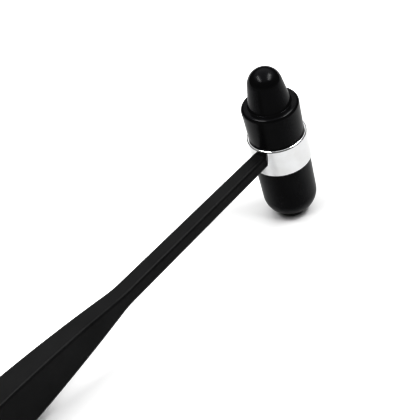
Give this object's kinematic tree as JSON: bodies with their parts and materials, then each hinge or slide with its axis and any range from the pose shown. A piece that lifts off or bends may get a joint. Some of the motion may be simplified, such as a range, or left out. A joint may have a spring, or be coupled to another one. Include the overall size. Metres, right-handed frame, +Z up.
{
  "type": "reflex hammer",
  "caption": "Neurological percussion hammer: plated head with a blunt and a conical rubber mallet, on a slim plastic neck that flares into a flat-faced grip.",
  "frame": {"origin": "bottom centre of the whole hammer's box, on the table that it lies on", "axes": "+X from the tail to the head along the table, +Z up. The hammer stands on its large mallet and the flat behind the grip's belly, so the head's axis leans about seven degrees from +Z."},
  "size_m": [0.2454, 0.024, 0.0701],
  "materials": {
    "chrome_plate": "bright plated",
    "core_brass": "turned",
    "mallet_rubber": "semi-gloss",
    "handle_plastic": "satin moulded",
    "rod_steel": "drawn"
  },
  "bodies": {
    "root": {"head_collar": "chrome_plate", "head_core": "core_brass", "large_mallet": "mallet_rubber", "small_mallet": "mallet_rubber", "handle": "handle_plastic", "neck_rod": "rod_steel", "lock_screw": "rod_steel"}
  },
  "joints": []
}
